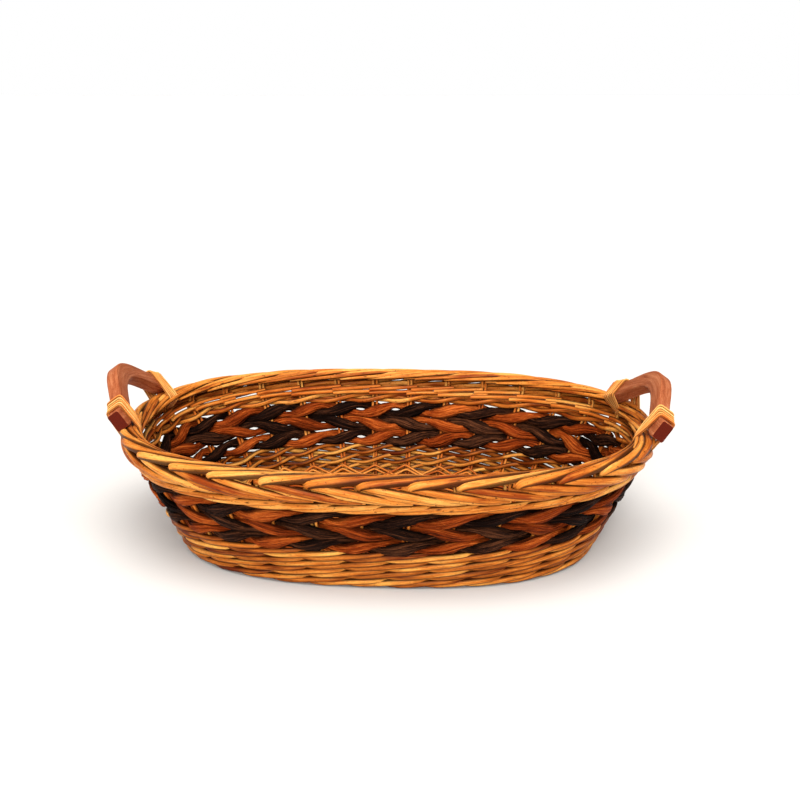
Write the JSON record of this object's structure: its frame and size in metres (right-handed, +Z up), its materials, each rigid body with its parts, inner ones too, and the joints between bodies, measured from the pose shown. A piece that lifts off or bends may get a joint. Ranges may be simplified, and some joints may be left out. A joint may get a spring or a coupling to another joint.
{
  "type": "woven fruit basket",
  "caption": "Oval open fruit basket of woven willow with flaring walls, a two-colour twined band, a plaited border and a bowed wooden handle bound to each end.",
  "frame": {"origin": "middle of the underside, on the surface the basket stands on", "axes": "+Z up out of the open mouth, X along the length from handle to handle, Y across the width"},
  "size_m": [0.4151, 0.2784, 0.1246],
  "materials": {
    "base_willow": "varnished peeled willow, woven flat",
    "stake_willow": "varnished peeled willow rods",
    "inner_willow": "varnished peeled willow rods",
    "siding_willow": "varnished peeled willow rods, golden",
    "dark_strand": "twisted leaf fibre, black-brown, satin",
    "red_strand": "twisted leaf fibre, red-brown, satin",
    "border_willow": "varnished peeled willow rods, pale golden with dark knots",
    "handle_wood": "sawn and sanded red-brown wood, satin",
    "binding_willow": "split willow skein, pale yellow"
  },
  "bodies": {
    "root": {"base_weave": "base_willow", "base_sticks_long": "stake_willow", "base_sticks_cross": "stake_willow", "stake_pair_01": "stake_willow", "stake_pair_02": "stake_willow", "stake_pair_03": "stake_willow", "stake_pair_04": "stake_willow", "stake_pair_05": "stake_willow", "stake_pair_06": "stake_willow", "stake_pair_07": "stake_willow", "stake_pair_08": "stake_willow", "stake_pair_09": "stake_willow", "stake_pair_10": "stake_willow", "stake_pair_11": "stake_willow", "stake_pair_12": "stake_willow", "stake_pair_13": "stake_willow", "stake_pair_14": "stake_willow", "stake_pair_15": "stake_willow", "stake_pair_16": "stake_willow", "stake_pair_17": "stake_willow", "stake_pair_18": "stake_willow", "stake_pair_19": "stake_willow", "stake_pair_20": "stake_willow", "stake_pair_21": "stake_willow", "stake_pair_22": "stake_willow", "stake_pair_23": "stake_willow", "stake_pair_24": "stake_willow", "stake_pair_25": "stake_willow", "stake_pair_26": "stake_willow", "stake_pair_27": "stake_willow", "stake_pair_28": "stake_willow", "stake_pair_29": "stake_willow", "stake_pair_30": "stake_willow", "stake_pair_31": "stake_willow", "stake_pair_32": "stake_willow", "foot_trac": "inner_willow", "border_inner_rods": "inner_willow", "siding_row_1": "siding_willow", "siding_row_2": "siding_willow", "siding_row_3": "siding_willow", "siding_row_4": "siding_willow", "collar_row": "siding_willow", "band_dark_1": "dark_strand", "band_dark_2": "dark_strand", "band_dark_3": "dark_strand", "band_red_1": "red_strand", "band_red_2": "red_strand", "band_red_3": "red_strand", "border_crest": "border_willow", "border_outer_rods": "border_willow", "handle_left": "handle_wood", "handle_right": "handle_wood", "binding_left_front": "binding_willow", "binding_left_rear": "binding_willow", "binding_right_front": "binding_willow", "binding_right_rear": "binding_willow"}
  },
  "joints": []
}
